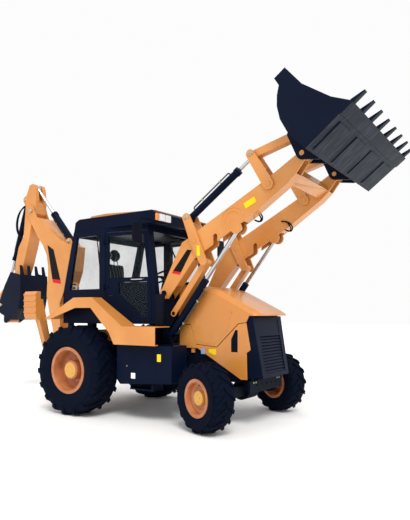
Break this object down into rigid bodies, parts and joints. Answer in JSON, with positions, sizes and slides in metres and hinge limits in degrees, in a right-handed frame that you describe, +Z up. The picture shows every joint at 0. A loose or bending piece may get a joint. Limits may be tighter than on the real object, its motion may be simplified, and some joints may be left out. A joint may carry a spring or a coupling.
{
  "type": "backhoe loader",
  "caption": "Wheeled loader with a raised front bucket on a self-levelling linkage, a glazed cab and a folded digging arm with stabilisers at the rear",
  "frame": {"origin": "on the ground under the middle of the machine's length and width", "axes": "+X forward along the longest extent, +Y to the machine's left, +Z up"},
  "size_m": [7.3177, 2.4531, 4.135],
  "materials": {
    "paint": "gloss orange-yellow paint",
    "dark_paint": "satin blue-black paint",
    "worn_steel": "satin blue-black paint, worn to grey underneath",
    "frame_paint": "satin black paint",
    "chrome": "polished",
    "tyre": "matte",
    "rim": "satin copper-orange paint",
    "glass": "clear, faintly green",
    "fabric": "dark woven",
    "plastic": "matte",
    "lamp": "clear lens",
    "iron": "rough"
  },
  "bodies": {
    "machine": {"chassis": "frame_paint", "rear_axle": "frame_paint", "front_axle": "frame_paint", "engine": "iron", "gearbox": "iron", "side_panels": "paint", "grille": "dark_paint", "side_boxes": "dark_paint", "fenders": "paint", "cab_frame": "dark_paint", "cab_glass": "glass", "roof": "dark_paint", "roof_cap": "paint", "roof_lamps": "lamp", "seat": "fabric", "console": "plastic", "air_cleaner": "plastic", "mirrors": "plastic", "rear_frame": "paint"},
    "hood": {"hood": "paint"},
    "door_right": {"door_right": "dark_paint", "door_glass_right": "glass"},
    "rear_wheel_right": {"rear_tyre_right": "tyre", "rear_rim_right": "rim"},
    "front_wheel_right": {"front_tyre_right": "tyre", "front_rim_right": "rim"},
    "knuckle_right": {"knuckle_right": "frame_paint"},
    "stabiliser_right": {"stabiliser_right": "paint"},
    "door_left": {"door_left": "dark_paint", "door_glass_left": "glass"},
    "rear_wheel_left": {"rear_tyre_left": "tyre", "rear_rim_left": "rim"},
    "front_wheel_left": {"front_tyre_left": "tyre", "front_rim_left": "rim"},
    "knuckle_left": {"knuckle_left": "frame_paint"},
    "stabiliser_left": {"stabiliser_left": "paint"},
    "loader_arms": {"loader_arms": "paint"},
    "bellcranks": {"bellcranks": "paint"},
    "level_links": {"level_links": "paint"},
    "lift_barrels": {"lift_barrels": "dark_paint"},
    "lift_rods": {"lift_rods": "chrome"},
    "tilt_barrels": {"tilt_barrels": "dark_paint"},
    "tilt_rods": {"tilt_rods": "chrome"},
    "tilt_levers": {"tilt_levers": "paint"},
    "push_links": {"push_links": "paint"},
    "swing_post": {"swing_post": "paint"},
    "boom": {"boom": "paint"},
    "dipper": {"dipper": "paint"},
    "rockers": {"rockers": "paint"},
    "dig_link": {"dig_link": "paint"},
    "boom_barrel": {"boom_barrel": "dark_paint"},
    "boom_rod": {"boom_rod": "chrome"},
    "dipper_barrel": {"dipper_barrel": "dark_paint"},
    "dipper_rod": {"dipper_rod": "chrome"},
    "curl_barrel": {"curl_barrel": "dark_paint"},
    "curl_rod": {"curl_rod": "chrome"},
    "loader_bucket": {"loader_bucket": "worn_steel", "bucket_teeth": "worn_steel"},
    "dig_bucket": {"dig_bucket": "worn_steel", "dig_teeth": "worn_steel"}
  },
  "joints": [
    {"name": "loader_lift", "type": "hinge", "parent": "machine", "child": "loader_arms", "pos_m": [0.752, 0, 1.757], "axis": [0, 1, 0], "range_deg": [-4, 71.6]},
    {"name": "level_link_pivot", "type": "hinge", "parent": "machine", "child": "level_links", "pos_m": [0.887, 0, 1.478], "axis": [0, 1, 0], "range_deg": [-4.1, 71.7]},
    {"name": "bellcrank_pivot", "type": "hinge", "parent": "loader_arms", "child": "bellcranks", "pos_m": [1.275, 0, 2.44], "axis": [0, 1, 0], "range_deg": [-71.7, 4.1]},
    {"name": "lift_barrel_pivot", "type": "hinge", "parent": "machine", "child": "lift_barrels", "pos_m": [0.781, 0, 1.137], "axis": [0, 1, 0], "range_deg": [-3.6, 62.4]},
    {"name": "lift_rod_slide", "type": "slide", "parent": "lift_barrels", "child": "lift_rods", "axis": [0.6119, 0, 0.791], "range_m": [-0.6883, 0.0394]},
    {"name": "tilt_barrel_pivot", "type": "hinge", "parent": "bellcranks", "child": "tilt_barrels", "pos_m": [1.141, 0, 2.763], "axis": [0, 1, 0], "range_deg": [-3.8, 66]},
    {"name": "bucket_tilt", "type": "hinge", "parent": "loader_arms", "child": "loader_bucket", "pos_m": [2.791, 0, 3.345], "axis": [0, -1, 0], "range_deg": [-84, 15]},
    {"name": "tilt_lever_pivot", "type": "hinge", "parent": "loader_arms", "child": "tilt_levers", "pos_m": [2.354, 0, 3.046], "axis": [0, -1, 0], "range_deg": [-48.8, 8.8]},
    {"name": "push_link_pivot", "type": "hinge", "parent": "tilt_levers", "child": "push_links", "pos_m": [2.107, 0, 3.449], "axis": [0, -1, 0], "range_deg": [-7.6, 42.1]},
    {"name": "tilt_rod_slide", "type": "slide", "parent": "tilt_barrels", "child": "tilt_rods", "axis": [0.8153, 0, 0.579], "range_m": [-0.0704, 0.3895]},
    {"name": "steering_right", "type": "hinge", "parent": "machine", "child": "knuckle_right", "pos_m": [1.691, -0.8, 0.44], "axis": [0, 0, 1], "range_deg": [-15, 55]},
    {"name": "steering_left", "type": "hinge", "parent": "machine", "child": "knuckle_left", "pos_m": [1.691, 0.8, 0.44], "axis": [0, 0, 1], "range_deg": [-15.1, 55.1]},
    {"name": "rear_wheel_spin_right", "type": "hinge", "parent": "machine", "child": "rear_wheel_right", "pos_m": [-0.629, -0.93, 0.655], "axis": [0, 1, 0], "continuous": true},
    {"name": "front_wheel_spin_right", "type": "hinge", "parent": "knuckle_right", "child": "front_wheel_right", "pos_m": [1.63696, -0.94847, 0.44], "axis": [0.342, 0.9397, 0], "continuous": true},
    {"name": "door_hinge_right", "type": "hinge", "parent": "machine", "child": "door_right", "pos_m": [-0.229, -0.804, 2.19], "axis": [0, 0, -1], "range_deg": [0, 85]},
    {"name": "stabiliser_pivot_right", "type": "hinge", "parent": "machine", "child": "stabiliser_right", "pos_m": [-1.414, -0.72, 0.55], "axis": [-1, 0, 0], "range_deg": [-100, 0]},
    {"name": "rear_wheel_spin_left", "type": "hinge", "parent": "machine", "child": "rear_wheel_left", "pos_m": [-0.629, 0.93, 0.655], "axis": [0, 1, 0], "continuous": true},
    {"name": "front_wheel_spin_left", "type": "hinge", "parent": "knuckle_left", "child": "front_wheel_left", "pos_m": [1.74504, 0.94847, 0.44], "axis": [0.342, 0.9397, 0], "continuous": true},
    {"name": "door_hinge_left", "type": "hinge", "parent": "machine", "child": "door_left", "pos_m": [-0.229, 0.804, 2.19], "axis": [0, 0, 1], "range_deg": [0, 85]},
    {"name": "stabiliser_pivot_left", "type": "hinge", "parent": "machine", "child": "stabiliser_left", "pos_m": [-1.414, 0.72, 0.55], "axis": [1, 0, 0], "range_deg": [-100, 0]},
    {"name": "hood_hinge", "type": "hinge", "parent": "machine", "child": "hood", "pos_m": [0.845, 0, 1.83], "axis": [0, -1, 0], "range_deg": [0, 50]},
    {"name": "boom_swing", "type": "hinge", "parent": "machine", "child": "swing_post", "pos_m": [-1.629, 0, 0.78], "axis": [0, 0, 1], "range_deg": [-90, 90]},
    {"name": "boom_pivot", "type": "hinge", "parent": "swing_post", "child": "boom", "pos_m": [-1.959, 0, 0.88], "axis": [0, -1, 0], "range_deg": [0, 100]},
    {"name": "boom_barrel_pivot", "type": "hinge", "parent": "swing_post", "child": "boom_barrel", "pos_m": [-1.814, 0, 1.085], "axis": [0, -1, 0], "range_deg": [-0.1, 105.1]},
    {"name": "boom_rod_slide", "type": "slide", "parent": "boom_barrel", "child": "boom_rod", "axis": [0.0884, 0, 0.9961], "range_m": [-0.001, 0.3797]},
    {"name": "dipper_pivot", "type": "hinge", "parent": "boom", "child": "dipper", "pos_m": [-2.706, 0, 3.344], "axis": [0, 1, 0], "range_deg": [0, 90]},
    {"name": "dipper_barrel_pivot", "type": "hinge", "parent": "boom", "child": "dipper_barrel", "pos_m": [-1.765, 0, 2.735], "axis": [0, 1, 0], "range_deg": [-0.1, 5.5]},
    {"name": "dipper_rod_slide", "type": "slide", "parent": "dipper_barrel", "child": "dipper_rod", "axis": [-0.6606, 0, 0.7508], "range_m": [-0.6058, 0.001]},
    {"name": "dig_bucket_pivot", "type": "hinge", "parent": "dipper", "child": "dig_bucket", "pos_m": [-3.379, 0, 1.64], "axis": [0, 1, 0], "range_deg": [0, 165]},
    {"name": "rocker_pivot", "type": "hinge", "parent": "dipper", "child": "rockers", "pos_m": [-3.289, 0, 2.03], "axis": [0, 1, 0], "range_deg": [-0.1, 110.6]},
    {"name": "dig_link_pivot", "type": "hinge", "parent": "rockers", "child": "dig_link", "pos_m": [-3.609, 0, 1.8], "axis": [0, 1, 0], "range_deg": [-76, 0.1]},
    {"name": "curl_barrel_pivot", "type": "hinge", "parent": "dipper", "child": "curl_barrel", "pos_m": [-2.939, 0, 3.59], "axis": [0, 1, 0], "range_deg": [-0.1, 3.4]},
    {"name": "curl_rod_slide", "type": "slide", "parent": "curl_barrel", "child": "curl_rod", "axis": [-0.3505, 0, -0.9365], "range_m": [-0.649, 0.001]}
  ],
  "couplings": [
    {"joint": "level_link_pivot", "follows": "loader_lift", "ratio": 1},
    {"joint": "bellcrank_pivot", "follows": "loader_lift", "ratio": -1},
    {"joint": "lift_barrel_pivot", "follows": "loader_lift", "ratio": 0.87},
    {"joint": "lift_rod_slide", "follows": "loader_lift", "m_per_rad": -0.55},
    {"joint": "tilt_barrel_pivot", "follows": "loader_lift", "ratio": 0.92},
    {"joint": "tilt_lever_pivot", "follows": "bucket_tilt", "ratio": 0.58},
    {"joint": "push_link_pivot", "follows": "bucket_tilt", "ratio": -0.5},
    {"joint": "tilt_rod_slide", "follows": "bucket_tilt", "m_per_rad": -0.265},
    {"joint": "steering_left", "follows": "steering_right", "ratio": 1},
    {"joint": "boom_barrel_pivot", "follows": "boom_pivot", "ratio": 1.05},
    {"joint": "boom_rod_slide", "follows": "boom_pivot", "m_per_rad": 0.217},
    {"joint": "dipper_barrel_pivot", "follows": "dipper_pivot", "ratio": 0.06},
    {"joint": "dipper_rod_slide", "follows": "dipper_pivot", "m_per_rad": -0.385},
    {"joint": "rocker_pivot", "follows": "dig_bucket_pivot", "ratio": 0.67},
    {"joint": "dig_link_pivot", "follows": "dig_bucket_pivot", "ratio": -0.46},
    {"joint": "curl_barrel_pivot", "follows": "dig_bucket_pivot", "ratio": 0.02},
    {"joint": "curl_rod_slide", "follows": "dig_bucket_pivot", "m_per_rad": -0.225}
  ]
}
